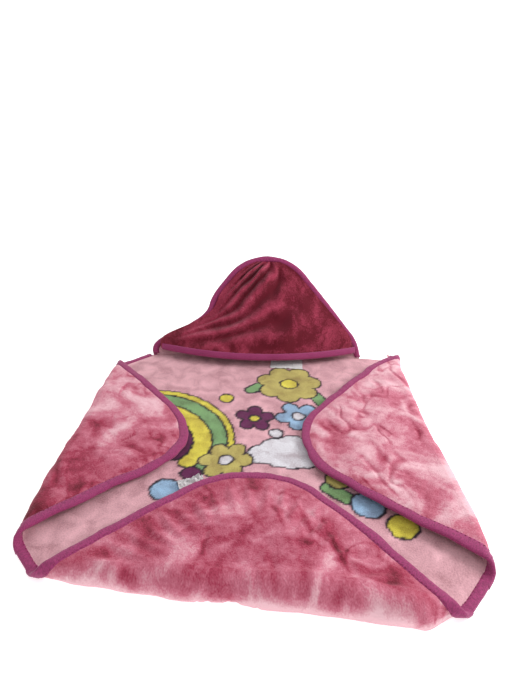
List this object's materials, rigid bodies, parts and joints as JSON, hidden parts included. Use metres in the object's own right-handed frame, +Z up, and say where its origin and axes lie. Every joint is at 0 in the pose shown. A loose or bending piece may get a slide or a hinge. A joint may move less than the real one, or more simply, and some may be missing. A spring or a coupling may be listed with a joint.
{
  "type": "hooded baby towel",
  "caption": "Square two-ply plush baby towel with rounded corners, taped edge and a hood pocket on one corner, laid out with the other corners folded in.",
  "frame": {"origin": "centre of the cloth's square on the underside that it lies on", "axes": "+Z up from the surface; +Y from the centre towards the hooded corner; +X to the right as seen from the foot"},
  "size_m": [0.6252, 0.7044, 0.1907],
  "materials": {
    "outer_plush": "deep rose brushed plush, pile lying in patches",
    "inner_plush": "pale pink brushed plush with a printed motif",
    "binding_tape": "magenta woven binding tape, slightly puckered",
    "thread": "polyester sewing thread",
    "satin_tab": "silvery satin, blank",
    "care_label": "white satin ribbon, blank"
  },
  "bodies": {
    "centre": {"centre_outer_ply": "outer_plush", "centre_inner_ply": "inner_plush", "centre_bindings": "binding_tape", "centre_stitching": "thread", "left_fold_outer_ply": "outer_plush", "left_fold_inner_ply": "inner_plush", "left_fold_bindings": "binding_tape", "right_fold_outer_ply": "outer_plush", "right_fold_inner_ply": "inner_plush", "right_fold_bindings": "binding_tape", "foot_fold_outer_ply": "outer_plush", "foot_fold_inner_ply": "inner_plush", "foot_fold_bindings": "binding_tape", "hood_bend_outer_ply": "outer_plush", "hood_bend_inner_ply": "inner_plush", "hood_bend_bindings": "binding_tape", "care_label": "care_label"},
    "left_flap": {"left_flap_outer_ply": "outer_plush", "left_flap_inner_ply": "inner_plush", "left_flap_binding": "binding_tape", "left_flap_stitching": "thread"},
    "right_flap": {"right_flap_outer_ply": "outer_plush", "right_flap_inner_ply": "inner_plush", "right_flap_binding": "binding_tape", "right_flap_stitching": "thread"},
    "foot_flap": {"foot_flap_outer_ply": "outer_plush", "foot_flap_inner_ply": "inner_plush", "foot_flap_binding": "binding_tape", "foot_flap_stitching": "thread", "edge_tab": "satin_tab"},
    "hood": {"hood_back_outer_ply": "outer_plush", "hood_back_inner_ply": "inner_plush", "hood_edge_binding": "binding_tape", "hood_edge_stitching": "thread", "hood_front_ply": "outer_plush", "hood_front_lining": "inner_plush", "hood_mouth_binding": "binding_tape"}
  },
  "joints": [
    {"name": "left_flap_fold", "type": "hinge", "parent": "centre", "child": "left_flap", "pos_m": [-0.3278, 0, 0.0131], "axis": [0, -1, 0], "range_deg": [0, 183], "deforming": ["left_fold_outer_ply", "left_fold_inner_ply", "left_fold_bindings"]},
    {"name": "right_flap_fold", "type": "hinge", "parent": "centre", "child": "right_flap", "pos_m": [0.28273, 0.01878, 0.0131], "axis": [-0.0663, 0.9978, 0], "range_deg": [0, 182.4], "deforming": ["right_fold_outer_ply", "right_fold_inner_ply", "right_fold_bindings"]},
    {"name": "foot_flap_fold", "type": "hinge", "parent": "centre", "child": "foot_flap", "pos_m": [0, -0.30234, 0.0131], "axis": [1, 0, 0], "range_deg": [0, 182.7], "deforming": ["foot_fold_outer_ply", "foot_fold_inner_ply", "foot_fold_bindings"]},
    {"name": "hood_raise", "type": "hinge", "parent": "centre", "child": "hood", "pos_m": [-0.01695, 0.29344, 0.00405], "axis": [0.9981, 0.061, 0], "range_deg": [-60, 8], "deforming": ["hood_bend_outer_ply", "hood_bend_inner_ply", "hood_bend_bindings"]}
  ]
}
